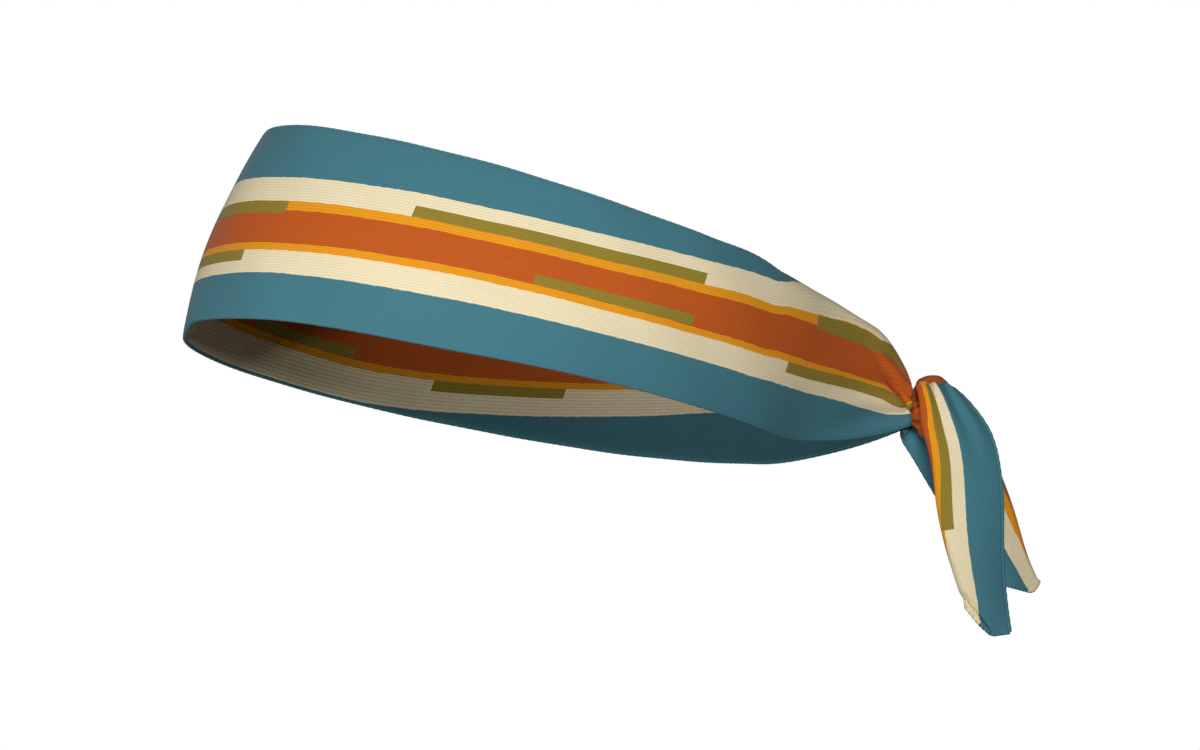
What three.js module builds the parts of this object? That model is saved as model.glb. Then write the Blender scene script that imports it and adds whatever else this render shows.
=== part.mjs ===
// A tie headband in the shape it takes when it is worn: two layers of stretch knit
// circle the head, draw together into a knot at the nape, and hang as two tails that
// are folded lengthwise. Millimetres, +Z up, forehead at -X, knot at +X. The wearer's
// left side is at -Y. The origin is the middle of the head opening.
import * as THREE from 'three';

// the loop around the head
const loopLength = 200; // forehead to nape along the lower edge
const loopWidth = 152; // side to side along the lower edge
const bandWidth = 60; // lower edge to upper edge, measured up at the origin
const lowerHeight = -31; // lower edge level at the origin
const lowerSlope = 0.185; // the band sits high on the forehead and low at the nape
const upperSlope = 0.31; // and narrows towards the nape
const upperSetback = 20; // the band leans back, so its upper edge sits further back
const upperShorter = 6; // the upper edge loop is smaller by this at each end
const upperNarrower = 4; // and by this at each side
const crown = 3.6; // how far the middle of the band stands out from its edges

// the cloth
const clothThickness = 0.8;
const layerGap = 0.3; // air between the two layers, and between any two pieces
const seamWidth = 1.3; // sewn edge that closes the two layers

// where the two band ends meet and enter the knot
const turnStart = 150 * Math.PI / 180; // loop angle where the ends leave the oval
const neckLength = 33; // back of the loop to the front of the knot
const neckSpread = 4.6; // each band end to the middle plane
const neckHeight = 13; // band end height as it enters the knot
const pleatCount = 2.5;
const pleatDepth = 0.9;

// the knot
const knotLength = 12;
const knotDrop = -36; // knot centre level
const neckDrop = -33; // level at which the band ends enter it
const coreRadius = 4.9;
const wrapThickness = 2.5;
const wrapWidth = 9.5;

// the tails
const leftTailLength = 72; // hinge line to end
const rightTailLength = 56;
const leftRootLength = 18; // over the top of the knot, down to the hinge line
const rightRootLength = 12;
const tailWidth = 23.5; // folded width: half the flat width of the band
const tailRootWidth = 8;
const tailEndWidth = 14.5;
const foldSlack = 0.65; // air inside the lengthwise fold, on each side of its middle
const hingeRadius = 1.9; // rounded end of the root, centred on the hinge line
const hingeGap = 0.5; // room for the swinging cloth to turn about that end

const halfLength = loopLength / 2;
const halfWidth = loopWidth / 2;
const outerLayer = [layerGap / 2, layerGap / 2 + clothThickness];
const innerLayer = [-layerGap / 2 - clothThickness, -layerGap / 2];
const bothLayers = [innerLayer[0], outerLayer[1]];
const neckX = halfLength + neckLength; // where the band ends stop
const knotX = neckX + layerGap * 2 + knotLength / 2;
const wrapRadius = coreRadius + layerGap + wrapThickness;
const foldRadius = foldSlack + outerLayer[1];
const tailHalfDepth = foldRadius + outerLayer[1];
const tailRoll = wrapRadius + layerGap + tailHalfDepth; // tail's middle round the wrap
const hingeReach = hingeRadius + hingeGap; // level at which the swinging cloth starts

const clamp01 = (t) => Math.min(1, Math.max(0, t));
const smooth = (t) => clamp01(t) ** 2 * (3 - 2 * clamp01(t));
const mix = (a, b, t) => a + (b - a) * t;

function hermite(start, startPull, end, endPull, t) {
  const h1 = 2 * t ** 3 - 3 * t ** 2 + 1;
  const h2 = t ** 3 - 2 * t ** 2 + t;
  const h3 = -2 * t ** 3 + 3 * t ** 2;
  const h4 = t ** 3 - t ** 2;
  return new THREE.Vector3()
    .addScaledVector(start, h1)
    .addScaledVector(startPull, h2)
    .addScaledVector(end, h3)
    .addScaledVector(endPull, h4);
}

// One edge of the band on the +Y half, by its angle from the forehead
function ovalPoint(edge, angle) {
  const x = edge.middle - edge.halfLength * Math.cos(angle);
  const power = angle > Math.PI / 2 ? edge.rearTaper : 0.92;
  const y = edge.halfWidth * Math.max(0, Math.sin(angle)) ** power;
  return new THREE.Vector3(x, y, edge.height - edge.slope * x);
}

const lowerEdge = {
  middle: 1,
  halfLength,
  halfWidth,
  rearTaper: 1.2,
  height: lowerHeight,
  slope: lowerSlope,
  end: new THREE.Vector3(neckX, neckSpread, neckDrop - neckHeight / 2),
  endPull: new THREE.Vector3(34, -2, 14),
  turnPull: 52,
};
const upperEdge = {
  middle: upperSetback,
  halfLength: halfLength - upperShorter,
  halfWidth: halfWidth - upperNarrower,
  rearTaper: 1.09,
  height: lowerHeight + bandWidth,
  slope: upperSlope,
  end: new THREE.Vector3(neckX, neckSpread, neckDrop + neckHeight / 2),
  endPull: new THREE.Vector3(14, -4, -40),
  turnPull: 48,
};

// An edge from the forehead (along = 0) to the knot (along = 1)
const turnShare = 0.82;
function edgePoint(edge, along) {
  if (along <= turnShare) return ovalPoint(edge, turnStart * along / turnShare);
  const start = ovalPoint(edge, turnStart);
  const pull = start.clone().sub(ovalPoint(edge, turnStart - 0.02));
  pull.setLength(edge.turnPull);
  const t = (along - turnShare) / (1 - turnShare);
  return hermite(start, pull, edge.end, edge.endPull, t);
}

// The level way out of the band at one place along it
function outwardAt(along) {
  const step = 0.004;
  const before = Math.max(0, along - step);
  const after = Math.min(1, along + step);
  const run = new THREE.Vector3();
  for (const edge of [lowerEdge, upperEdge]) {
    run.add(edgePoint(edge, after)).sub(edgePoint(edge, before));
  }
  if (along === 0) run.set(0, 1, 0);
  return new THREE.Vector3(-run.y, run.x, 0).normalize();
}

// Band surface: along runs from the left end (-1) round the forehead to the right end
// (1), across runs from the lower edge (0) to the upper edge (1), out is the depth
function bandPoint(along, across, out) {
  const side = along < 0 ? -1 : 1;
  const reach = Math.abs(along);
  const low = edgePoint(lowerEdge, reach);
  const high = edgePoint(upperEdge, reach);
  const gather = smooth((reach - turnShare) / (1 - turnShare));
  const stand = mix(crown, 1.6, gather) * 4 * across * (1 - across);
  const pleat = pleatDepth * gather * Math.sin(across * pleatCount * 2 * Math.PI);
  const point = low.lerp(high, across);
  point.addScaledVector(outwardAt(reach), stand + pleat + out);
  point.y *= side;
  return point;
}

// How each tail runs: it leaves the knot over its side, crosses the hinge line at
// hingeX, and hangs with its slope easing from rootSlope to hangSlope
const leftTail = {
  side: -1,
  length: leftTailLength,
  rootLength: leftRootLength,
  hingeX: knotX + 5.4,
  rootSlope: 0.45,
  hangSlope: 0.14,
  rowTilt: 0.14,
  foldFacing: 1, // the fold leads, towards the forehead
};
const rightTail = {
  side: 1,
  length: rightTailLength,
  rootLength: rightRootLength,
  hingeX: knotX + 2.7,
  rootSlope: 0.4,
  hangSlope: 0.51,
  rowTilt: -0.25,
  foldFacing: -1, // the fold trails
};
const slopeEase = 9; // length over which a tail's slope eases
const tiltEase = 26; // length over which its rows tilt

// The middle of a tail along X, by its level: the length of cloth below the hinge line
function tailMiddle(tail, level) {
  if (level < 0) return tail.hingeX + tail.rootSlope * level;
  const ease = slopeEase * (1 - Math.exp(-level / slopeEase));
  return tail.hingeX + tail.hangSlope * level + (tail.rootSlope - tail.hangSlope) * ease;
}

function tailWidthAt(tail, level) {
  const spread = smooth((level + tail.rootLength) / (tail.rootLength + 8));
  const taper = smooth((level - tail.length * 0.2) / (tail.length * 0.8));
  return mix(mix(tailRootWidth, tailWidth, spread), tailEndWidth, taper);
}

// Lays flat cloth on the tail's path: round the wrap above the hinge line, straight
// down below it. away is the distance from the tail's middle, outwards from the knot
function layTail(tail, x, level, away) {
  const turn = Math.max(0, -level / tailRoll);
  const reach = tailRoll + away;
  const z = knotDrop - Math.max(0, level) + reach * Math.sin(turn);
  return new THREE.Vector3(x, tail.side * reach * Math.cos(turn), z);
}

// Tail surface: down runs from just below the hinge line (0) to the end (1), across runs
// from one sewn edge (-1) round the lengthwise fold (0) to the other (1), out is the depth
function tailPoint(tail, down, across, out) {
  const level = mix(hingeReach, tail.length, down);
  const width = tailWidthAt(tail, level);
  const arc = foldRadius * Math.PI / 2;
  const distance = Math.abs(across) * (width - foldRadius + arc);
  const leaf = across < 0 ? 1 : -1;
  let inPlane = foldRadius + distance - arc;
  let depth = foldRadius + out;
  if (distance < arc) {
    const turn = distance / foldRadius;
    inPlane = foldRadius - (foldRadius + out) * Math.cos(turn);
    depth = (foldRadius + out) * Math.sin(turn);
  }
  const sideways = (inPlane - width / 2) * tail.foldFacing;
  const tilt = tail.rowTilt * smooth(level / tiltEase);
  const x = tailMiddle(tail, level) + sideways * Math.cos(tilt);
  const lift = sideways * Math.sin(tilt);
  return layTail(tail, x, Math.max(0, level - lift), leaf * depth);
}

// The gathered cloth between the knot and a tail, as one lens-shaped strip. It thins
// towards the hinge line and ends in a round that the tail swings about
const stripShare = 0.75; // part of down that is strip, the rest is the rounded end
function rootPoint(tail, down, across, out) {
  const turn = Math.max(0, (down - stripShare) / (1 - stripShare)) * 1.45;
  const above = Math.max(0, 1 - down / stripShare) * tail.rootLength;
  const level = turn > 0 ? hingeRadius * Math.sin(turn) : -above;
  const strip = mix(hingeRadius, tailHalfDepth, smooth((above - 2.5) / 5));
  const half = turn > 0 ? hingeRadius * Math.cos(turn) : strip;
  const x = tailMiddle(tail, level) + across * tailWidthAt(tail, level) / 2;
  const away = out * half * (1 - 0.55 * across ** 4);
  return layTail(tail, x, level, away);
}

// A closed body of cloth: a grid of points on two faces, joined all round
function clothBody(name, color, pointAt, uSpan, vSpan, outSpan, uCuts, vCuts) {
  const positions = [];
  const index = [];
  const rows = uCuts.length;
  const columns = vCuts.length;
  for (const out of outSpan) {
    for (const u of uCuts) {
      for (const v of vCuts) {
        positions.push(...pointAt(mix(...uSpan, u), mix(...vSpan, v), out).toArray());
      }
    }
  }
  const id = (face, i, j) => (face * rows + i) * columns + j;
  const quad = (a, b, c, d) => index.push(a, b, c, a, c, d);
  for (let i = 0; i < rows - 1; i += 1) {
    for (let j = 0; j < columns - 1; j += 1) {
      quad(id(1, i, j), id(1, i + 1, j), id(1, i + 1, j + 1), id(1, i, j + 1));
      quad(id(0, i, j), id(0, i, j + 1), id(0, i + 1, j + 1), id(0, i + 1, j));
    }
    quad(id(0, i, 0), id(0, i + 1, 0), id(1, i + 1, 0), id(1, i, 0));
    const last = columns - 1;
    quad(id(0, i, last), id(1, i, last), id(1, i + 1, last), id(0, i + 1, last));
  }
  for (let j = 0; j < columns - 1; j += 1) {
    quad(id(0, 0, j), id(1, 0, j), id(1, 0, j + 1), id(0, 0, j + 1));
    const last = rows - 1;
    quad(id(0, last, j), id(0, last, j + 1), id(1, last, j + 1), id(1, last, j));
  }
  return solid(name, color, positions, index);
}

function solid(name, color, positions, index) {
  const corner = (i) => new THREE.Vector3().fromArray(positions, index[i] * 3);
  let volume = 0;
  for (let i = 0; i < index.length; i += 3) {
    volume += corner(i).dot(corner(i + 1).cross(corner(i + 2)));
  }
  if (volume < 0) index.reverse();
  const geometry = new THREE.BufferGeometry();
  geometry.setAttribute('position', new THREE.Float32BufferAttribute(positions, 3));
  geometry.setIndex(index);
  geometry.computeVertexNormals();
  const material = new THREE.MeshStandardMaterial({ color, roughness: 0.9 });
  const mesh = new THREE.Mesh(geometry, material);
  mesh.name = name;
  return mesh;
}

const evenCuts = (count) => Array.from({ length: count + 1 }, (_, i) => i / count);

// A ring or a plug that turns about the knot's X axis, from a profile of [x, radius]
function turnedBody(name, color, profile, closedRing) {
  const sides = 28;
  const positions = [];
  const index = [];
  const count = profile.length;
  for (let k = 0; k < sides; k += 1) {
    const angle = 2 * Math.PI * k / sides;
    for (const [x, radius] of profile) {
      const y = radius * Math.cos(angle);
      const z = radius * Math.sin(angle);
      positions.push(knotX + x, y, knotDrop + z);
    }
  }
  const spans = closedRing ? count : count - 1;
  for (let k = 0; k < sides; k += 1) {
    const next = (k + 1) % sides;
    for (let j = 0; j < spans; j += 1) {
      const m = (j + 1) % count;
      const a = k * count + j;
      const b = next * count + j;
      const c = next * count + m;
      const d = k * count + m;
      index.push(a, b, c, a, c, d);
    }
  }
  if (!closedRing) {
    const first = positions.length / 3;
    positions.push(knotX + profile[0][0], 0, knotDrop);
    positions.push(knotX + profile[count - 1][0], 0, knotDrop);
    for (let k = 0; k < sides; k += 1) {
      const next = (k + 1) % sides;
      index.push(first, next * count, k * count);
      index.push(first + 1, k * count + count - 1, next * count + count - 1);
    }
  }
  return solid(name, color, positions, index);
}

const knitTeal = 0x44808c;
const liningTeal = 0x39707b;
const seamTeal = 0x2f5a66;
const knotOrange = 0xc2581e;

const group = new THREE.Group();
group.name = 'tie_headband';

// The band, both layers and the two sewn edges
const seamShare = seamWidth / bandWidth;
const gapShare = layerGap / bandWidth;
const panelSpan = [seamShare + gapShare * 1.6, 1 - seamShare - gapShare * 1.6];
const alongCuts = evenCuts(76);
const wholeBand = [-1, 1];
group.add(
  clothBody('band_outer_panel', knitTeal, bandPoint, wholeBand, panelSpan, outerLayer,
    alongCuts, evenCuts(9)),
  clothBody('band_inner_panel', liningTeal, bandPoint, wholeBand, panelSpan, innerLayer,
    alongCuts, evenCuts(9)),
  clothBody('band_upper_seam', seamTeal, bandPoint, wholeBand, [1 - seamShare, 1],
    bothLayers, alongCuts, evenCuts(1)),
  clothBody('band_lower_seam', seamTeal, bandPoint, wholeBand, [0, seamShare],
    bothLayers, alongCuts, evenCuts(1)),
);

// The knot: the crossed band ends inside, and the turn of cloth that grips them
const coreHalf = knotLength / 2;
const coreProfile = [];
for (let i = 0; i <= 8; i += 1) {
  const share = -1 + i / 4;
  coreProfile.push([share * coreHalf, coreRadius * (1 - 0.35 * share ** 4)]);
}
group.add(turnedBody('knot_core', knotOrange, coreProfile, false));

const wrapProfile = [];
const wrapMiddle = wrapRadius - wrapThickness / 2;
for (let i = 0; i < 12; i += 1) {
  const angle = 2 * Math.PI * i / 12;
  const x = wrapWidth / 2 * Math.cos(angle);
  const radius = wrapMiddle + wrapThickness / 2 * Math.sin(angle);
  wrapProfile.push([x, radius]);
}
group.add(turnedBody('knot_wrap', knotOrange, wrapProfile, true));

// The tails: a gathered root that stays with the knot, then two layers, two sewn edges
// and a sewn end that swing
const downCuts = evenCuts(18);
const foldCuts = [0, 0.3, 0.6, 0.82, 0.9, 0.94, 0.97, 1];
const leafCuts = [...foldCuts.map((c) => c / 2), ...foldCuts.slice(0, -1).reverse()
  .map((c) => 1 - c / 2)];
const tailSeamShare = seamWidth / tailWidth;
const tailGapShare = layerGap * 1.6 / tailWidth;
const leafSpan = [-1 + tailSeamShare + tailGapShare, 1 - tailSeamShare - tailGapShare];
for (const [label, tail] of [['left', leftTail], ['right', rightTail]]) {
  const rootAt = (down, across, out) => rootPoint(tail, down, across, out);
  group.add(clothBody(`${label}_tail_root`, knotOrange, rootAt, [0, 1], [-1, 1], [-1, 1],
    evenCuts(20), evenCuts(10)));
  const pointAt = (down, across, out) => tailPoint(tail, down, across, out);
  const swinging = tail.length - hingeReach;
  const endShare = seamWidth / swinging;
  const panelLength = [0, 1 - endShare - layerGap / swinging];
  const add = (part, color, down, across, out, cutsDown, cutsAcross) => group.add(
    clothBody(`${label}_tail_${part}`, color, pointAt, down, across, out, cutsDown,
      cutsAcross),
  );
  add('outer_panel', knitTeal, panelLength, leafSpan, outerLayer, downCuts, leafCuts);
  add('inner_panel', liningTeal, panelLength, leafSpan, innerLayer, downCuts, leafCuts);
  add('lower_edge_seam', seamTeal, panelLength, [-1, -1 + tailSeamShare], bothLayers,
    downCuts, evenCuts(1));
  add('upper_edge_seam', seamTeal, panelLength, [1 - tailSeamShare, 1], bothLayers,
    downCuts, evenCuts(1));
  add('end_seam', seamTeal, [1 - endShare, 1], [-1, 1], bothLayers, evenCuts(1),
    leafCuts);
}

export default group;
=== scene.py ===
import math

import bpy
import numpy as np
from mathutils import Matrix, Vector


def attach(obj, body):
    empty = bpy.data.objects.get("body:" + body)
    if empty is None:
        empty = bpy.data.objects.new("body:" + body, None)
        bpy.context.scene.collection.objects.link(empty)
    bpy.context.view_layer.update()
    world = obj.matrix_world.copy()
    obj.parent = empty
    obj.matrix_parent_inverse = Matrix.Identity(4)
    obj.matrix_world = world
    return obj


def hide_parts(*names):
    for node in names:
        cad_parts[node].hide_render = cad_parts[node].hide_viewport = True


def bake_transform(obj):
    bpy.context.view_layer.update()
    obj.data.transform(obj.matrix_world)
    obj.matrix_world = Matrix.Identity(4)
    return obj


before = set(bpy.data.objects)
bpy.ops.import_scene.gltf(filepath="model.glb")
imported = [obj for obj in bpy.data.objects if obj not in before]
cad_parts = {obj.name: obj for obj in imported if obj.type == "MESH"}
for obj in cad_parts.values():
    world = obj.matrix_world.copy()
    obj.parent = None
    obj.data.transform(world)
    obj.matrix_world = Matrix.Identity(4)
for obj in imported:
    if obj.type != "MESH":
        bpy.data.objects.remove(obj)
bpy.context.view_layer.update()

mm = 0.001  # metres
for thing in list(bpy.context.selected_objects):
    thing.select_set(False)
print("frame loaded")


# camera and studio

camera = {
    "target": (0.0338, 0.0, -0.0240),
    "distance": 1.706,
    "azimuth": -2.7,
    "elevation": -9.1,
    "lens": 159.7,
    "sensor": 36,
    "clip": (0.05, 60),
}

studio = {
    "floorLevel": -0.95,
    "floorSize": 90.0,
    "floorColour": "f4f4f4",
    "floorRoughness": 0.9,
    "skyColour": "ffffff",
    "skyLight": 0.03,
    "floorLight": 2.6,
    "floorLightAngle": 40,
    "lamps": [  # name, place, what it points at, size, spread in degrees, watts
        ("key", (0.05, -1.95, 0.14), (-0.02, 0.0, 0.03), 0.5, 34, 1.1),
        ("under", (-1.3, -1.2, -0.4), (0.05, 0.0, -0.03), 0.25, 50, 0.8),
        ("back", (0.3, 1.9, 0.25), (0.0, 0.0, 0.0), 0.8, 60, 2.6),
    ],
}


def linear(hexColour, alpha=1.0):  # sRGB hex to linear
    parts = [int(hexColour[i:i + 2], 16) / 255 for i in (0, 2, 4)]
    return tuple(p / 12.92 if p <= 0.04045 else ((p + 0.055) / 1.055) ** 2.4
                 for p in parts) + (alpha,)


def add(tree, kind, links=None, **settings):  # one node, its settings and its links
    node = tree.nodes.new(kind)
    for key, value in settings.items():
        setattr(node, key, value)
    for socket, source in (links or {}).items():
        if isinstance(source, bpy.types.NodeSocket):
            tree.links.new(source, node.inputs[socket])
        else:
            node.inputs[socket].default_value = source
    return node


def setCamera(c):
    azimuth, elevation = math.radians(c["azimuth"]), math.radians(c["elevation"])
    back = Vector((math.sin(azimuth) * math.cos(elevation),
                   -math.cos(azimuth) * math.cos(elevation), math.sin(elevation)))
    data = bpy.data.cameras.new("camera")
    data.lens = c["lens"]
    data.sensor_width = c["sensor"]
    data.clip_start, data.clip_end = c["clip"]
    eye = bpy.data.objects.new("camera", data)
    bpy.context.scene.collection.objects.link(eye)
    eye.location = Vector(c["target"]) + back * c["distance"]
    eye.rotation_mode = "QUATERNION"
    eye.rotation_quaternion = (-back).to_track_quat("-Z", "Y")
    bpy.context.scene.camera = eye


def setStudio(s):
    bpy.ops.mesh.primitive_plane_add(size=s["floorSize"], location=(0, 0, s["floorLevel"]))
    floor = bpy.context.object
    floor.name = "studioFloor"
    paint = bpy.data.materials.new("paintedStudioFloor")
    paint.use_nodes = True
    shader = paint.node_tree.nodes["Principled BSDF"]
    shader.inputs["Base Color"].default_value = linear(s["floorColour"])
    shader.inputs["Roughness"].default_value = s["floorRoughness"]
    floor.data.materials.append(paint)
    floor.visible_diffuse = False   # it throws no light back up on the cloth
    floor.select_set(False)
    overhead = bpy.data.objects.new("floorLight", bpy.data.lights.new("floorLight", "SUN"))
    overhead.data.energy = s["floorLight"]
    overhead.data.angle = math.radians(s["floorLightAngle"])
    bpy.context.scene.collection.objects.link(overhead)
    lit = bpy.data.collections.new("litByFloorLight")
    lit.objects.link(floor)
    overhead.light_linking.receiver_collection = lit
    for name, place, aim, size, spread, watts in s["lamps"]:
        data = bpy.data.lights.new(name, "AREA")
        data.shape, data.size, data.energy = "DISK", size, watts
        data.spread = math.radians(spread)
        lamp = bpy.data.objects.new(name, data)
        bpy.context.scene.collection.objects.link(lamp)
        lamp.location = place
        lamp.visible_camera = False
        lamp.rotation_mode = "QUATERNION"
        lamp.rotation_quaternion = (Vector(aim) - Vector(place)).to_track_quat("-Z", "Y")
    world = bpy.data.worlds.new("studioSky")
    bpy.context.scene.world = world
    world.use_nodes = True
    tree = world.node_tree
    tree.nodes.clear()
    ray = add(tree, "ShaderNodeLightPath")
    strength = add(tree, "ShaderNodeMapRange", {"Value": ray.outputs["Is Camera Ray"],
                                                "To Min": s["skyLight"], "To Max": 1.0})
    sky = add(tree, "ShaderNodeBackground", {"Color": linear(s["skyColour"]),
                                             "Strength": strength.outputs["Result"]})
    add(tree, "ShaderNodeOutputWorld", {"Surface": sky.outputs["Background"]})
    bpy.context.scene.view_settings.view_transform = "Standard"


setCamera(camera)
setStudio(studio)
print("camera and studio ready")


# the printed knit

knit = {
    "flatWidth": 66.0,   # mm, the cut width that the print runs across
    "wale": 0.9,         # mm between the fine lengthwise ribs
    "course": 1.1,       # mm between stitches along a rib
    "ribDepth": 0.00011,
    "teal": "477f8c",
    "cream": "f8e8c0",
    "mustard": "f3a11c",
    "orange": "c95e1f",
    "olive": "9a8532",
    "orangeHalf": 0.0825,  # shares of the width, from its middle outwards
    "mustardWide": 0.043,
    "creamWide": 0.117,
    "wander": 0.004,       # share of the width that a stripe's edge strays
    "wanderScale": 420.0,  # noise scales, per metre
    "fuzzScale": 1500.0,
    "washScale": 38.0,
    "wash": (0.94, 1.05),  # darkest and lightest cloth in the wash of the dye
    "loopDepth": 0.22,
    "purlDepth": 0.4,
    "roughness": 0.86,
    "specular": 0.16,
    "sheen": 0.1,
    "sheenRoughness": 0.45,
}


def printStops(k):
    a = k["orangeHalf"]
    b = a + k["mustardWide"]
    c = b + k["creamWide"]
    return [(0.0, "teal"), (0.5 - c, "cream"), (0.5 - b, "mustard"), (0.5 - a, "orange"),
            (0.5 + a, "mustard"), (0.5 + b, "cream"), (0.5 + c, "teal")]


# Printed polyester knit, brushed matte: flat bright dyes, fine ribs along the length that catch the
# light on their crowns, and a faint pale sheen at grazing angles.
# The base colour also carries painted shade in the rib valleys and stitch gaps and a small painted
# highlight on the rib crowns.
def printedKnit(name, k, bars, valleyShadeAndFuzz=0.16, purl=False):  # purl is the cloth's wrong side
    material = bpy.data.materials.new(name)
    material.use_nodes = True
    tree = material.node_tree
    shader = tree.nodes["Principled BSDF"]
    cloth = add(tree, "ShaderNodeUVMap", uv_map="cloth")
    place = add(tree, "ShaderNodeTexCoord")
    drift = add(tree, "ShaderNodeTexNoise", {"Vector": place.outputs["Object"],
                                             "Scale": k["wanderScale"], "Detail": 1.0})
    shift = add(tree, "ShaderNodeMapRange", {"Value": drift.outputs["Fac"],
                                             "To Min": -k["wander"], "To Max": k["wander"]})
    split = add(tree, "ShaderNodeSeparateXYZ", {"Vector": cloth.outputs["UV"]})
    across = add(tree, "ShaderNodeMath", {0: split.outputs["Y"], 1: shift.outputs["Result"]},
                 operation="ADD")
    stripes = add(tree, "ShaderNodeValToRGB", {"Fac": across.outputs["Value"]})
    ramp = stripes.color_ramp
    ramp.interpolation = "CONSTANT"
    stops = printStops(k)
    while len(ramp.elements) < len(stops):
        ramp.elements.new(1.0)
    for number, (stop, colour) in enumerate(stops):
        ramp.elements[number].position = stop
        ramp.elements[number].color = linear(k[colour])

    inBar = None
    for start, stop, low, high in bars:  # mm along, shares across
        middle = ((start + stop) / 2 / k["flatWidth"], (low + high) / 2, 0)
        half = ((stop - start) / 2 / k["flatWidth"], (high - low) / 2, 1)
        away = add(tree, "ShaderNodeVectorMath", {0: cloth.outputs["UV"], 1: middle},
                   operation="SUBTRACT")
        size = add(tree, "ShaderNodeVectorMath", {0: away.outputs["Vector"]}, operation="ABSOLUTE")
        left = add(tree, "ShaderNodeVectorMath", {0: half, 1: size.outputs["Vector"]},
                   operation="SUBTRACT")
        sides = add(tree, "ShaderNodeSeparateXYZ", {"Vector": left.outputs["Vector"]})
        least = add(tree, "ShaderNodeMath", {0: sides.outputs["X"], 1: sides.outputs["Y"]},
                    operation="MINIMUM")
        within = add(tree, "ShaderNodeMath", {0: least.outputs["Value"], 1: 0.0},
                     operation="GREATER_THAN")
        if inBar is None:
            inBar = within.outputs["Value"]
        else:
            inBar = add(tree, "ShaderNodeMath", {0: inBar, 1: within.outputs["Value"]},
                        operation="MAXIMUM").outputs["Value"]
    colour = stripes.outputs["Color"]
    if inBar is not None:
        painted = add(tree, "ShaderNodeMix", {"Factor": inBar}, data_type="RGBA")
        tree.links.new(colour, painted.inputs[6])
        painted.inputs[7].default_value = linear(k["olive"])
        colour = painted.outputs[2]

    # ribs and stitches, from the cloth's own measure
    perWale, perCourse = 2 * k["flatWidth"] / k["wale"], k["flatWidth"] / k["course"]
    scaled = add(tree, "ShaderNodeVectorMath", {0: cloth.outputs["UV"],
                                                1: (perCourse, perWale, 0)}, operation="MULTIPLY")
    parts = add(tree, "ShaderNodeSeparateXYZ", {"Vector": scaled.outputs["Vector"]})
    rib = add(tree, "ShaderNodeMath", {0: parts.outputs["Y"], 1: 1.0}, operation="PINGPONG")
    ribRound = add(tree, "ShaderNodeMath", {0: rib.outputs["Value"], 1: 0.6}, operation="POWER")
    lean = add(tree, "ShaderNodeMath", {0: rib.outputs["Value"], 1: 0.8,
                                        2: parts.outputs["X"]}, operation="MULTIPLY_ADD")
    turn = add(tree, "ShaderNodeMath", {0: lean.outputs["Value"], 1: 2 * math.pi},
               operation="MULTIPLY")
    stitch = add(tree, "ShaderNodeMath", {0: turn.outputs["Value"]}, operation="SINE")
    loopDepth = k["purlDepth"] if purl else k["loopDepth"]
    loops = add(tree, "ShaderNodeMath", {0: stitch.outputs["Value"], 1: loopDepth,
                                         2: ribRound.outputs["Value"]}, operation="MULTIPLY_ADD")
    fuzz = add(tree, "ShaderNodeTexNoise", {"Vector": place.outputs["Object"],
                                            "Scale": k["fuzzScale"], "Detail": 2.0})
    pile = add(tree, "ShaderNodeMath", {0: fuzz.outputs["Fac"], 1: 0.9,
                                        2: loops.outputs["Value"]}, operation="MULTIPLY_ADD")
    bump = add(tree, "ShaderNodeBump", {"Height": pile.outputs["Value"], "Strength": 0.75,
                                        "Distance": k["ribDepth"]})
    # painted shade: the colour darkens in the low rib valleys and stitch gaps and lightens a little
    # on the rib crowns (painted highlight), by as much as the argument above sets; the fuzz noise in
    # the height adds random tone
    ribShadeAndFuzzTone = add(tree, "ShaderNodeMapRange", {"Value": pile.outputs["Value"], "From Min": 0.2,
                                             "From Max": 1.5, "To Min": 1 - valleyShadeAndFuzz, "To Max": 1.04})
    wash = add(tree, "ShaderNodeTexNoise", {"Vector": place.outputs["Object"],
                                            "Scale": k["washScale"], "Detail": 3.0})
    fade = add(tree, "ShaderNodeMapRange", {"Value": wash.outputs["Fac"],
                                            "To Min": k["wash"][0], "To Max": k["wash"][1]})
    depth = add(tree, "ShaderNodeMath", {0: ribShadeAndFuzzTone.outputs["Result"], 1: fade.outputs["Result"]},
                operation="MULTIPLY")
    dyedAndShaded = add(tree, "ShaderNodeVectorMath", {0: colour, "Scale": depth.outputs["Value"]},
               operation="SCALE")
    tree.links.new(dyedAndShaded.outputs["Vector"], shader.inputs["Base Color"])
    tree.links.new(bump.outputs["Normal"], shader.inputs["Normal"])
    shader.inputs["Roughness"].default_value = k["roughness"]
    shader.inputs["Specular IOR Level"].default_value = k["specular"]
    shader.inputs["Sheen Weight"].default_value = k["sheen"]
    shader.inputs["Sheen Roughness"].default_value = k["sheenRoughness"]
    return material


# olive bars on each piece: mm along from the forehead, and shares across
bars = {
    "outer": [(-54, 31, 0.572, 0.628), (-189, -97, 0.628, 0.683), (-300, -237, 0.572, 0.628),
              (-43, 52, 0.322, 0.377), (-189, -139, 0.42, 0.472), (-300, -228, 0.322, 0.377),
              (88, 171, 0.322, 0.377), (124, 196, 0.572, 0.628), (216, 262, 0.628, 0.683)],
    "lining": [(48, 87, 0.42, 0.465), (115, 157, 0.335, 0.377), (-170, -96, 0.42, 0.465),
               (-70, -18, 0.335, 0.377), (190, 240, 0.628, 0.67)],
    "leftTail": [(-7.5, 38, 0.332, 0.388)],
    "rightTail": [(-30, 34, 0.53, 0.5825)],
}
outerKnit = printedKnit("printedStretchKnit", knit, bars["outer"])
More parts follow.
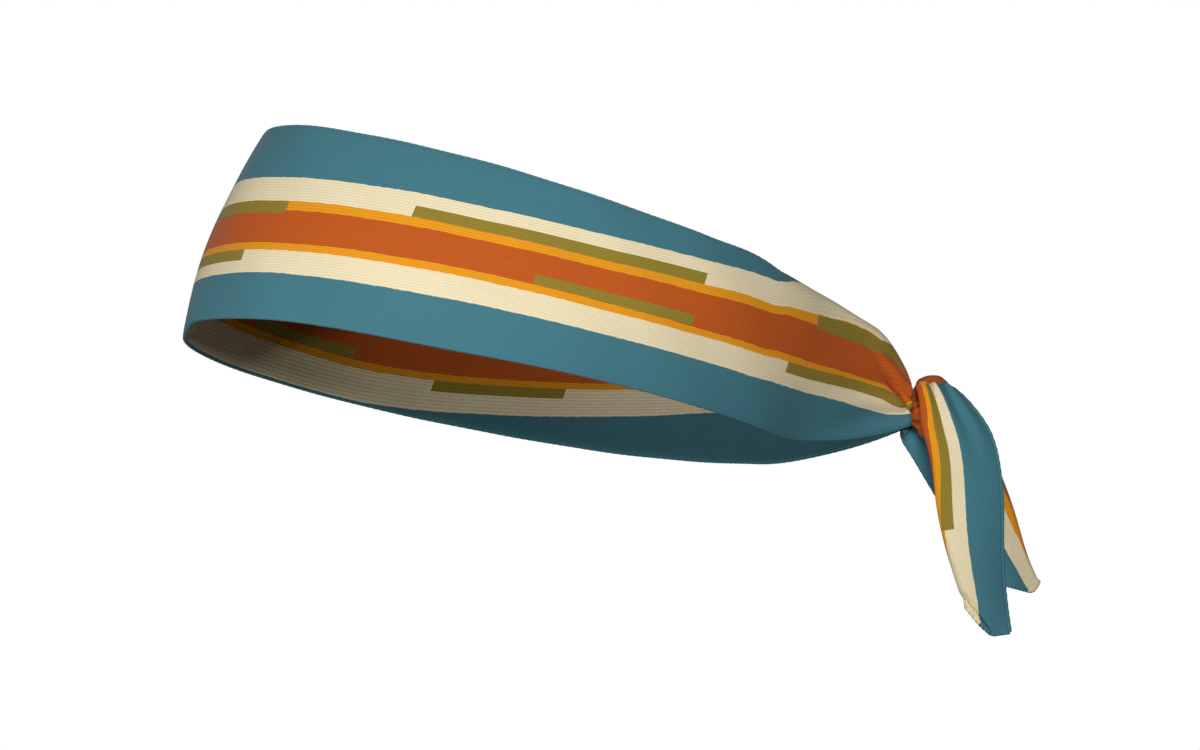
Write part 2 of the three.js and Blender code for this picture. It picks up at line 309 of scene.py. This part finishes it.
# the wrong side gets deeper painted shade in its loops than the right side
liningKnit = printedKnit("printedStretchKnitReverse", knit, bars["lining"], 0.34, True)
leftTailKnit = printedKnit("printedStretchKnitLeftTail", knit, bars["leftTail"])
rightTailKnit = printedKnit("printedStretchKnitRightTail", knit, bars["rightTail"])
plainKnit = printedKnit("printedStretchKnitKnot", knit, [])
print("knit materials ready")


# cloth meshes

def smooth(t):
    t = np.clip(t, 0, 1)
    return t * t * (3 - 2 * t)


def mix(a, b, t):
    return a + (b - a) * t


def unit(v):
    return v / np.maximum(np.linalg.norm(v, axis=-1, keepdims=True), 1e-9)


# points in mm, faces as an array of quads, caps as a list of triangles
def finishMesh(name, points, quads, uv, material, caps=()):
    points, quads = np.asarray(points), np.asarray(quads)
    a, b, c, d = (points[quads[:, n]] for n in range(4))
    volume = np.sum(a * (np.cross(b, c) + np.cross(c, d)))
    mesh = bpy.data.meshes.new(name)
    mesh.from_pydata((points * mm).tolist(), [], quads.tolist() + [list(t) for t in caps])
    if volume < 0:
        mesh.flip_normals()
    layer = mesh.uv_layers.new(name="cloth")
    corners = np.zeros(len(mesh.loops), int)
    mesh.loops.foreach_get("vertex_index", corners)
    layer.data.foreach_set("uv", np.asarray(uv, float)[corners].ravel())
    mesh.shade_smooth()
    mesh.materials.append(material)
    mesh.validate()
    piece = bpy.data.objects.new(name, mesh)
    bpy.context.scene.collection.objects.link(piece)
    return piece


# Two grids of points, the cloth's two faces, closed all round. flat is where each grid
# point lies on the print
def clothShell(name, front, back, flat, material):
    rows, columns = front.shape[:2]
    points = np.concatenate([front.reshape(-1, 3), back.reshape(-1, 3)])
    uv = np.concatenate([flat.reshape(-1, 2)] * 2)
    count = rows * columns
    i, j = np.meshgrid(np.arange(rows - 1), np.arange(columns - 1), indexing="ij")
    a = (i * columns + j).ravel()
    quads = [np.stack([a, a + columns, a + columns + 1, a + 1], -1),
             np.stack([a, a + 1, a + columns + 1, a + columns], -1) + count]
    for line in (np.arange(rows) * columns, (np.arange(rows) * columns + columns - 1)[::-1],
                 np.arange(columns)[::-1], (rows - 1) * columns + np.arange(columns)):
        quads.append(np.stack([line[:-1], line[:-1] + count, line[1:] + count, line[1:]], -1))
    return finishMesh(name, points, np.concatenate(quads), uv, material)


# A rolled edge of cloth along a path, capped at both ends
def clothWelt(name, path, radius, flat, material, sides=10):
    path = np.asarray(path)
    run = unit(np.gradient(path, axis=0))
    side = unit(np.cross(run, np.array([0.13, 0.21, 1.0])))
    over = np.cross(side, run)
    turn = np.linspace(0, 2 * math.pi, sides, endpoint=False)
    radius = np.broadcast_to(radius, len(path))[:, None, None]
    rings = path[:, None] + radius * (np.cos(turn)[None, :, None] * side[:, None]
                                      + np.sin(turn)[None, :, None] * over[:, None])
    points = np.concatenate([rings.reshape(-1, 3), path[:1], path[-1:]])
    i, j = np.meshgrid(np.arange(len(path) - 1), np.arange(sides), indexing="ij")
    k = (j + 1) % sides
    quads = np.stack([i * sides + j, (i + 1) * sides + j, (i + 1) * sides + k, i * sides + k],
                     -1).reshape(-1, 4)
    first, last = len(points) - 2, len(points) - 1
    base = (len(path) - 1) * sides
    caps = [(first, n, (n + 1) % sides) for n in range(sides)]
    caps += [(last, base + (n + 1) % sides, base + n) for n in range(sides)]
    uv = np.concatenate([np.repeat(flat, sides, axis=0), flat[:1], flat[-1:]])
    return finishMesh(name, points, quads, uv, material, caps)


def edgeCuts(count, width, near=1.1):  # even cuts, with close ones at both edges
    close = np.array([0, 0.12, 0.3, 0.6, 0.85]) * near / width
    middle = np.linspace(near / width, 1 - near / width, count)
    return np.concatenate([close, middle, 1 - close[::-1]])


sewing = {
    "edgeReach": 0.9,    # mm from a sewn edge where a layer starts to be pressed thin
    "edgeShare": 0.25,   # of its thickness, at the edge itself
    "seamRadius": 0.72,
    "stitchDepth": 0.05,
    "stitchLength": 2.6,
    "endRadius": 0.82,   # the sewn end of a tail is thicker
    "endDepth": 0.06,
}


def pressedThin(toEdge):  # share of a layer's thickness at mm from its sewn edge
    rounding = 1 - (1 - np.clip(toEdge / sewing["edgeReach"], 0, 1)) ** 2
    return mix(sewing["edgeShare"], 1, np.sqrt(np.clip(rounding, 0, 1)))


def stitchedRadius(distance):  # a seam drawn in at every stitch, at mm along it
    turn = distance * 2 * math.pi / sewing["stitchLength"]
    return sewing["seamRadius"] + sewing["stitchDepth"] * np.sin(turn)


# the band

band = {
    "halfLength": 100.0,
    "halfWidth": 76.0,
    "width": 60.0,
    "lowerHeight": -31.0,
    "lowerSlope": 0.185,
    "upperSlope": 0.31,
    "upperSetback": 20.0,
    "upperShorter": 6.0,
    "upperNarrower": 4.0,
    "crown": 3.6,        # mm that the middle stands out, at the forehead and at the knot
    "crownAtKnot": 1.6,
    "turnStart": math.radians(150),
    "turnShare": 0.82,
    "neckLength": 33.0,
    "neckSpread": 4.6,
    "neckDrop": -33.0,
    "neckHeight": 13.0,
    "rows": 540,
    "columns": 70,
    "curl": 0.38,       # share of the width that turns in before the knot
    "curlReach": 100.0,  # mm before the knot where it starts, and where it is full
    "curlFull": 10.0,
    "curlRadius": 6.5,
    "curlRadiusAtKnot": 2.4,
    "curlCloth": 0.8,   # share of the turned cloth's width left by its pleats
    "curlTurn": 2.7,    # radians that it turns before it runs on straight
    "pleats": 4.5,
    "pleatDepth": 1.1,
    "pleatReach": 46.0,  # mm before the knot where the pleats start
    "ripples": (0.22, 0.14),  # mm, the long and the short ripples of worn cloth
    "edgeRide": 2.3,    # mm that the left lower edge rides up beside the forehead
    "clothNear": 0.1,   # mm from the middle of the two layers to each layer's faces
    "clothFar": 0.8,
    "lip": 2.1,         # mm that the folded-over cloth stands up beside the knot
    "lipFull": 12.0,    # mm before the knot where it is still full, and where it is gone
    "lipGone": 26.0,
    "creaseShare": 0.36,  # place of its crease across the band at the knot, and its rise
    "creaseRise": 0.5,
    "creaseReach": 9.0,
}


def bandEdges(b):
    neckX = b["halfLength"] + b["neckLength"]
    lower = {"middle": 1.0, "half": b["halfLength"], "wide": b["halfWidth"], "taper": 1.2,
             "height": b["lowerHeight"], "slope": b["lowerSlope"], "pull": 52.0,
             "end": (neckX, b["neckSpread"], b["neckDrop"] - b["neckHeight"] / 2),
             "endPull": (34.0, -2.0, 14.0)}
    upper = {"middle": b["upperSetback"], "half": b["halfLength"] - b["upperShorter"],
             "wide": b["halfWidth"] - b["upperNarrower"], "taper": 1.09,
             "height": b["lowerHeight"] + b["width"], "slope": b["upperSlope"], "pull": 48.0,
             "end": (neckX, b["neckSpread"], b["neckDrop"] + b["neckHeight"] / 2),
             "endPull": (14.0, -4.0, -40.0)}
    return lower, upper


lowerEdge, upperEdge = bandEdges(band)


def ovalPoint(edge, angle):
    x = edge["middle"] - edge["half"] * np.cos(angle)
    power = np.where(angle > math.pi / 2, edge["taper"], 0.92)
    y = edge["wide"] * np.maximum(0, np.sin(angle)) ** power
    return np.stack([x, y, edge["height"] - edge["slope"] * x], -1)


def edgePoint(edge, reach):  # reach is 0 at the forehead and 1 at the knot
    share, turn = band["turnShare"], band["turnStart"]
    oval = ovalPoint(edge, turn * np.minimum(reach, share) / share)
    start = ovalPoint(edge, np.array(turn))
    pull = start - ovalPoint(edge, np.array(turn - 0.02))
    pull = pull / np.linalg.norm(pull) * edge["pull"]
    t = np.clip((reach - share) / (1 - share), 0, 1)[..., None]
    neck = ((2 * t ** 3 - 3 * t ** 2 + 1) * start + (t ** 3 - 2 * t ** 2 + t) * pull
            + (-2 * t ** 3 + 3 * t ** 2) * np.array(edge["end"])
            + (t ** 3 - t ** 2) * np.array(edge["endPull"]))
    return np.where(reach[..., None] <= share, oval, neck)


def bandMeasure():  # length along the middle of one half, against reach
    reach = np.linspace(0, 1, 1600)
    middle = (edgePoint(lowerEdge, reach) + edgePoint(upperEdge, reach)) / 2
    steps = np.linalg.norm(np.diff(middle, axis=0), axis=1)
    return reach, np.concatenate([[0], np.cumsum(steps)])


measureReach, measureLength = bandMeasure()
halfBand = float(measureLength[-1])
print("half band length mm", round(halfBand, 1))


# Band surface at mm along (minus on the left side), shares across, and mm out from the
# middle of the two layers.
def bandSurface(along, across, out):
    along, across = np.asarray(along, float), np.asarray(across, float)
    reach = np.interp(np.abs(along), measureLength, measureReach)
    left = halfBand - np.abs(along)
    low, high = edgePoint(lowerEdge, reach), edgePoint(upperEdge, reach)
    step = 0.004
    ahead, behind = np.minimum(reach + step, 1), np.maximum(reach - step, 0)
    run = sum(edgePoint(e, ahead) - edgePoint(e, behind) for e in (lowerEdge, upperEdge))
    run[np.abs(along) < 1e-6] = (0, 1, 0)
    outward = unit(np.stack([-run[:, 1], run[:, 0], np.zeros(len(run))], -1))

    gather = smooth((reach - band["turnShare"]) / (1 - band["turnShare"]))
    crown = mix(band["crown"], band["crownAtKnot"], gather)
    curl = band["curl"] * smooth((band["curlReach"] - left) / (band["curlReach"] - band["curlFull"]))
    roll = mix(band["curlRadius"], band["curlRadiusAtKnot"], smooth((75 - left) / 62))
    height = np.linalg.norm(high - low, axis=1)
    top = 1 - np.minimum(0.25, 0.75 * roll / height) * smooth(curl / 0.12)

    v = across[None, :]
    straight = np.clip(v / (1 - curl)[:, None], 0, 1) * top[:, None]
    rise = (high - low)[:, None]
    point = low[:, None] + rise * straight[..., None]
    stand = crown[:, None] * 4 * straight * (1 - straight)
    point = point + outward[:, None] * stand[..., None]
    slope = crown[:, None] * 4 * (1 - 2 * straight)
    tangent = unit(rise + outward[:, None] * slope[..., None])
    inward = -outward[:, None] + np.zeros_like(point)
    inward = unit(inward - tangent * np.sum(inward * tangent, -1, keepdims=True))
    extra = np.maximum(0, v - (1 - curl)[:, None]) * knit["flatWidth"] * band["curlCloth"]
    most = band["curlTurn"]
    turn = np.minimum(extra / roll[:, None], most)
    beyond = np.maximum(0, extra - most * roll[:, None])
    point = point + roll[:, None, None] * (np.sin(turn)[..., None] * tangent
                                           + (1 - np.cos(turn))[..., None] * inward)
    point = point + beyond[..., None] * (math.cos(most) * tangent + math.sin(most) * inward)
    normal = np.sin(turn)[..., None] * tangent - np.cos(turn)[..., None] * inward

    side = np.where(along < 0, 1.0, -1.0)[:, None]
    near = left[:, None]
    fan = band["pleatDepth"] * smooth((band["pleatReach"] - near) / band["pleatReach"]) ** 1.4
    wave = np.sin(2 * math.pi * (band["pleats"] * v ** 1.1 + 0.13 * side) + near / 17)
    far = along[:, None]
    longRipple, shortRipple = band["ripples"]
    ripple = (longRipple * np.sin(far / 13 + 4.2 * v)
              + shortRipple * np.sin(far / 5.3 - 9 * v + side * smooth(np.abs(far) / 60)))
    # one fold beside the knot, on the left side only: cloth stands up past the crease,
    # hangs a little over it, and sinks before it
    crease = band["creaseShare"] + band["creaseRise"] * (1 - np.exp(-near / band["creaseReach"]))
    gone = straight - crease
    fading = smooth((near - band["lipFull"]) / (band["lipGone"] - band["lipFull"]))
    strong = band["lip"] * smooth(near / 2) * (1 - fading) * (side > 0)
    lip = strong * (1 / (1 + np.exp(-gone / 0.016)) * np.exp(-np.maximum(gone, 0) / 0.25)
                    - (1.0 + 1.1 * (1 - smooth((near - 2) / 14)))
                    * np.exp(-((gone + 0.07) / 0.065) ** 2) * (1 - smooth(near / 24)))
    push = fan * wave + ripple * smooth(near / 8) + lip
    hang = 0.3 * strong * smooth((gone + 0.05) / 0.05) * np.exp(-np.maximum(gone, 0) / 0.12)
    point = point - hang[..., None] * tangent

    thin = pressedThin(np.minimum(across, 1 - across) * knit["flatWidth"])[None]
    point = point + normal * push[..., None]
    ride = smooth(np.abs(along) / 24) * (1 - smooth((np.abs(along) - 60) / 70)) * (along < 0)
    point[..., 2] += band["edgeRide"] * ride[:, None] * np.clip(1 - v / 0.3, 0, 1) ** 1.5
    mirror = np.where(along < 0, -1.0, 1.0)[:, None]
    point[..., 1] *= mirror
    normal[..., 1] *= mirror
    if out:
        facing = unit(np.cross(np.gradient(point, axis=0), np.gradient(point, axis=1)))
        facing *= np.sign(np.sum(facing * normal, -1, keepdims=True))
        point = point + facing * (out * thin)[..., None]
    return point


# Where each stripe edge lies across the band, at mm from the forehead: the print
# spreads and slides as the band is pulled to the knot
stripeStations = [0, 60, 120, 160, 200, 222, 245, 258, 270, 275, 280, 287]
stripeEdges = [
    (0.23, 0.35, 0.385, 0.545, 0.595, 0.712),
    (0.255, 0.372, 0.408, 0.572, 0.62, 0.74),
    (0.25, 0.38, 0.422, 0.586, 0.634, 0.765),
    (0.243, 0.374, 0.417, 0.602, 0.652, 0.802),
    (0.252, 0.397, 0.434, 0.656, 0.715, 0.872),
    (0.265, 0.413, 0.458, 0.698, 0.752, 0.925),
    (0.242, 0.372, 0.4, 0.6, 0.668, 0.91),
    (0.215, 0.348, 0.372, 0.562, 0.638, 0.89),
    (0.18, 0.332, 0.358, 0.553, 0.622, 0.87),
    (0.165, 0.33, 0.366, 0.58, 0.64, 0.88),
    (0.135, 0.316, 0.328, 0.625, 0.705, 0.9),
    (0.12, 0.31, 0.32, 0.7, 0.78, 0.93),
]


def bandPrint(along, across):  # print coordinates on the outer layer
    away = np.abs(along)
    edges = [np.interp(away, stripeStations, column) for column in zip(*stripeEdges)]
    edges = np.stack([0 * away] + edges + [0 * away + 1], -1)
    plan = [0] + [stop for stop, _ in printStops(knit)][1:] + [1]
    v = np.stack([np.interp(across, row, plan) for row in edges])
    return np.stack([np.broadcast_to((along / knit["flatWidth"])[:, None], v.shape), v], -1)


liningSlide = {
    "share": 0.41,       # of the width, that the print slides by on its way to the knot
    "from": 80.0,        # mm from the forehead
    "over": 180.0,
    "across": (-1, 0, 0.185, 0.225, 1),
    "print": (-0.74, 0.26, 0.377, 0.42, 1),
}


def liningPrint(along, across):  # the lining's print slides the other way
    slide = liningSlide
    start = slide["share"] * smooth((np.abs(along) - slide["from"]) / slide["over"])
    w = np.asarray(across)[None, :] - start[:, None]
    v = np.interp(w, slide["across"], slide["print"])
    return np.stack([np.broadcast_to((along / knit["flatWidth"])[:, None], v.shape), v], -1)


def makeBand(b):
    along = np.linspace(-halfBand, halfBand, b["rows"] + 1)
    across = edgeCuts(b["columns"], knit["flatWidth"])
    outer = clothShell("bandOuterKnit", bandSurface(along, across, b["clothFar"]),
                       bandSurface(along, across, b["clothNear"]), bandPrint(along, across),
                       outerKnit)
    lining = clothShell("bandLining", bandSurface(along, across, -b["clothNear"]),
                        bandSurface(along, across, -b["clothFar"]),
                        liningPrint(along, across), liningKnit)
    seams = []
    for name, place in (("bandLowerEdge", 0.0), ("bandUpperEdge", 1.0)):
        path = bandSurface(along, [place], 0.0)[:, 0]
        flat = bandPrint(along, [0.01 + 0.98 * place])[:, 0]
        seams.append(clothWelt(name, path, stitchedRadius(along), flat, outerKnit))
    return outer, lining, seams


bandOuter, bandLining, bandSeams = makeBand(band)
for piece, node, slot in ((bandOuter, "band_outer_panel", "outer_knit"),
                          (bandLining, "band_inner_panel", "lining_knit"),
                          (bandSeams[0], "band_lower_seam", "seam_thread"),
                          (bandSeams[1], "band_upper_seam", "seam_thread")):
    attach(piece, "band")
    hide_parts(node)
print("band ready")


# the knot

knot = {
    "x": 139.6,
    "level": -36.0,
    "ringRadius": 5.9,
    "ringHalfWidth": 5.6,
    "ringHalfDepth": 2.1,
    "overTop": 2.7,      # the ring stands higher where it crosses the tails
    "coreRadius": 5.4,
    "coreReach": 7.2,
    "coreFolds": 9,
    "ringNarrow": 0.66,   # share of the ring's width where it doesn't cross the tails
    "wrapFolds": (0.32, 0.16),  # mm, the wide and the narrow folds round the ring
}


def makeWrap(k):
    rounds, sections = 120, 72
    turn = np.linspace(0, 2 * math.pi, rounds, endpoint=False)[:, None]
    ring = np.linspace(0, 2 * math.pi, sections, endpoint=False)[None, :]
    over = np.maximum(0, np.sin(turn)) ** 2
    wideFold, narrowFold = k["wrapFolds"]
    folds = (1 - 0.7 * over) * (wideFold * np.sin(5 * ring + turn)
                                + narrowFold * np.sin(9 * ring - 2 * turn + 1))
    wide = (k["ringHalfWidth"] + folds) * mix(k["ringNarrow"], 1, over)
    x = k["x"] + 0.6 + wide * np.cos(ring) + 0.5 * np.sin(turn + 0.6)
    r = (k["ringRadius"] + k["overTop"] * over
         + (k["ringHalfDepth"] + over * 2.0 + folds * 0.8) * np.sin(ring))
    y = r * np.cos(turn)
    z = k["level"] + r * np.sin(turn)
    points = np.stack([x, y, z], -1).reshape(-1, 3)
    i, j = np.meshgrid(np.arange(rounds), np.arange(sections), indexing="ij")
    a, b = (i + 1) % rounds, (j + 1) % sections
    quads = np.stack([i * sections + j, a * sections + j, a * sections + b, i * sections + b], -1)
    uv = np.stack([(turn * 7 / knit["flatWidth"] + 0 * ring).ravel(),
                   (0.5 + 0.06 * np.sin(ring * 0.5) ** 2 + 0 * turn).ravel()], -1)
    return finishMesh("knotWrap", points, quads.reshape(-1, 4), uv, plainKnit)


def makeCore(k):
    rounds, rings = 96, 40
    turn = np.linspace(0, 2 * math.pi, rounds, endpoint=False)[None, :]
    t = np.linspace(-0.992, 0.992, rings + 1)[:, None]
    size = np.sqrt(1 - np.abs(t) ** 2.6)
    r = k["coreRadius"] * size * (1 + 0.1 * size * np.cos(k["coreFolds"] * turn + 2.2 * t))
    x = k["x"] + k["coreReach"] * t + 0 * turn
    points = np.stack([x, r * np.cos(turn), k["level"] + r * np.sin(turn)], -1).reshape(-1, 3)
    ends = [[k["x"] + k["coreReach"] * side, 0, k["level"]] for side in (-1, 1)]
    i, j = np.meshgrid(np.arange(rings), np.arange(rounds), indexing="ij")
    b = (j + 1) % rounds
    quads = np.stack([i * rounds + j, (i + 1) * rounds + j, (i + 1) * rounds + b,
                      i * rounds + b], -1).reshape(-1, 4)
    first, last, base = len(points), len(points) + 1, rings * rounds
    caps = [(first, n, (n + 1) % rounds) for n in range(rounds)]
    caps += [(last, base + (n + 1) % rounds, base + n) for n in range(rounds)]
    flat = np.stack([t * 0.1 + 0 * turn, 0.5 + 0.06 * np.sin(turn) + 0 * t], -1).reshape(-1, 2)
    uv = np.concatenate([flat, [[0, 0.5], [0, 0.5]]])
    return finishMesh("knotCrossedEnds", np.concatenate([points, ends]), quads, uv, plainKnit,
                      caps)


for piece, node in ((makeWrap(knot), "knot_wrap"), (makeCore(knot), "knot_core")):
    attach(piece, "band")
    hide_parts(node)
print("knot ready")


# the tails

tails = {
    "left": {"side": -1, "length": 72.0, "root": 15.5, "hingeX": 144.6, "rootSlope": 0.45,
             "hangSlope": 0.13, "rowTilt": 0.14, "facing": 1, "drift": (0.035, 0.0017),
             "width": 20.4, "endWidth": 12.4, "corner": 9.5, "cornerShare": 0.6,
             "cornerReach": 17.0, "gather": 1.0, "knit": leftTailKnit},
    "right": {"side": 1, "length": 54.8, "root": 12.0, "hingeX": 142.3, "rootSlope": 0.4,
              "hangSlope": 0.51, "rowTilt": -0.25, "facing": -1, "drift": (-0.014, -0.0022),
              "width": 27.0, "endWidth": 17.0, "corner": 4.2, "cornerShare": 0.3,
              "cornerReach": 7.0, "gather": 0.1, "knit": rightTailKnit},
}
tailShape = {
    "roll": 10.35,     # mm from the knot's middle line to each hinge line
    "rootWidth": 8.0,
    "cutShare": 0.84,  # a guess: the cut narrows to the sewn end and to the knot
    "ease": 9.0,       # mm below the knot over which the tail's slope and tilt settle
    "tiltEase": 26.0,
    "start": 17.5,     # mm of cloth above the hinge line, the last of it inside the knot
    "fold": 1.8,       # mm, the radius of the lengthwise fold
    "bulge": 1.3,
    "pleat": 0.62,
    "wave": 0.35,
    "printLean": 0.22,  # how far the print crowds towards the lengthwise fold
    "shortLeaf": 0.9,  # mm that the hidden leaf ends above the one that shows
    "blend": (-0.033, -0.043),  # metres up, from the knot's cloth to the swinging tail's
    "gather": 2.9,     # mm from the sewn end to the groove that its stitches pull
    "rows": 190,
    "columns": 170,
}


# Tail surface at mm below the hinge line, shares across (0 at the lengthwise fold, -1 and
# 1 at the two free edges), and mm out from the middle of the two layers.
def tailSurface(t, level, across, out):
    s = tailShape
    level, across = np.asarray(level, float)[:, None], np.asarray(across, float)[None, :]
    spread = smooth((level + t["root"]) / (t["root"] + 9))
    taper = smooth((level - t["length"] * 0.35) / (t["length"] * 0.6))
    width = mix(mix(s["rootWidth"], t["width"], spread), t["endWidth"], taper)
    atEnd = smooth((level - t["length"] + 9) / 9)
    fold = mix(mix(1.3, s["fold"], spread), 1.0, atEnd)
    arc = fold * math.pi / 2
    distance = np.abs(across) * (width - fold + arc)
    leaf = np.where(across < 0, 1.0, -1.0)
    turn = np.minimum(distance / fold, math.pi / 2)
    along = np.maximum(distance - arc, 0)
    opened = along / (width - fold)
    reach = out * pressedThin((1 - np.abs(across)) * width)
    pleat = s["pleat"] * (1 - smooth((level + 2) / 26)) * np.sin(
        2 * math.pi * (2.6 * opened + 0.05 * leaf) + 0.6)
    billow = s["bulge"] * np.sin(math.pi * opened) * smooth((level + 6) / 20) * (1 - 0.8 * atEnd)
    wave = s["wave"] * np.sin(level / 8.5 + 1.7 * leaf + 2.4 * opened) * smooth((level + 4) / 16)
    inPlane = fold - (fold + reach) * np.cos(turn) + along
    nearFold = np.clip(1 - inPlane / (t["cornerShare"] * width), 0, 1)
    toEnd = t["length"] - level
    lift = (t["corner"] * smooth(1 - toEnd / t["cornerReach"]) * nearFold ** 1.45
            + s["shortLeaf"] * (leaf * t["facing"] < 0) * np.sin(turn) * (1 - smooth(toEnd / 8)))
    hem = s["gather"] * smooth(nearFold * 1.5)
    gathered = t["gather"] * smooth(nearFold * 4) * (1 - smooth((toEnd - hem + 0.5) / 0.8))
    groove = -1.6 * t["gather"] * smooth(nearFold * 5) * np.exp(-((toEnd - hem) / 0.5) ** 2)
    rib = 0.3 * gathered * np.sin(2 * math.pi * (distance + 0.35 * toEnd) / 0.9)
    depth = (fold * np.sin(turn) * (1 - 0.5 * opened) + pleat * np.sin(turn) + billow
             + (wave + groove) * np.sin(turn) + rib * np.sin(turn) ** 0.5
             + reach * np.sin(turn))
    sideways = (inPlane - width / 2) * t["facing"]
    tilt = t["rowTilt"] * smooth(level / s["tiltEase"])
    fall = level - lift
    ease = s["ease"] * (1 - np.exp(-np.maximum(fall, 0) / s["ease"]))
    middle = t["hingeX"] + np.where(fall < 0, t["rootSlope"] * fall, t["hangSlope"] * fall
                                    + (t["rootSlope"] - t["hangSlope"]) * ease)
    x = middle + sideways * np.cos(tilt) + 0.5 * np.sin(level / 9.0) * smooth(level / 14)
    down = level - sideways * np.sin(tilt) * (level > 0) - lift
    down = np.where(level > 0, np.maximum(down, np.minimum(level, 0)), level)
    away = leaf * depth + 1.0 * np.sin(level / 15.0) * smooth(level / 18)
    sink = smooth((-level - 7.5) / 10)
    around = np.maximum(0, -down / s["roll"])
    radius = s["roll"] + away * (1 - 0.5 * sink) - 6.5 * sink
    y = t["side"] * radius * np.cos(around)
    z = knot["level"] - np.maximum(0, down) + radius * np.sin(around)
    return np.stack([x + 0 * y, y, z], -1)


def tailPrint(t, level, across):  # the lengthwise fold wanders across the print
    start, slope = t["drift"]
    middle = 0.5 - (start + slope * np.maximum(np.asarray(level, float), 0))[:, None]
    across = np.asarray(across, float)[None, :]
    share = np.abs(across) * mix(1 - tailShape["printLean"], 1, np.abs(across))
    v = np.where(across < 0, middle * (1 - share), middle + (1 - middle) * share)
    u = np.broadcast_to(np.asarray(level, float)[:, None] / knit["flatWidth"], v.shape)
    return np.stack([u, v], -1)


def makeTail(label, t):
    s = tailShape
    level = np.concatenate([np.linspace(-s["start"], t["length"] - 8, s["rows"] - 32)[:-1],
                            np.linspace(t["length"] - 8, t["length"], 33)])
    across = -1 + 2 * edgeCuts(s["columns"], 2 * t["width"])
    flat = tailPrint(t, level, across)
    outer = clothShell(label + "TailKnit", tailSurface(t, level, across, band["clothFar"]),
                       tailSurface(t, level, across, band["clothNear"]), flat, t["knit"])
    inner = clothShell(label + "TailLining", tailSurface(t, level, across, -band["clothNear"]),
                       tailSurface(t, level, across, -band["clothFar"]), flat, liningKnit)
    welts = []
    for name, place in (("LowerEdge", -1.0), ("UpperEdge", 1.0)):
        path = tailSurface(t, level, [place], 0.0)[:, 0]
        welts.append(clothWelt(label + "Tail" + name, path, stitchedRadius(level),
                               tailPrint(t, level, [place * 0.99])[:, 0], t["knit"]))
    end = [t["length"]]
    path = tailSurface(t, end, across, 0.0)[0]
    stitched = sewing["endRadius"] + sewing["endDepth"] * np.sin(across * 90)
    welts.append(clothWelt(label + "TailEndStitching", path, stitched,
                           tailPrint(t, end, across)[0], t["knit"]))
    body = label + "_tail"
    nodes = (("root", "outer_panel"), ("inner_panel",), ("lower_edge_seam",),
             ("upper_edge_seam",), ("end_seam",))
    slots = ("outer_knit", "lining_knit", "seam_thread", "seam_thread", "seam_thread")
    for piece, names, slot in zip([outer, inner] + welts, nodes, slots):
        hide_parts(*[f"{label}_tail_{name}" for name in names])
        if names == ("end_seam",):
            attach(piece, body)
        else:
            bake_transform(piece)


for label, t in tails.items():
    makeTail(label, t)
print("tails ready")
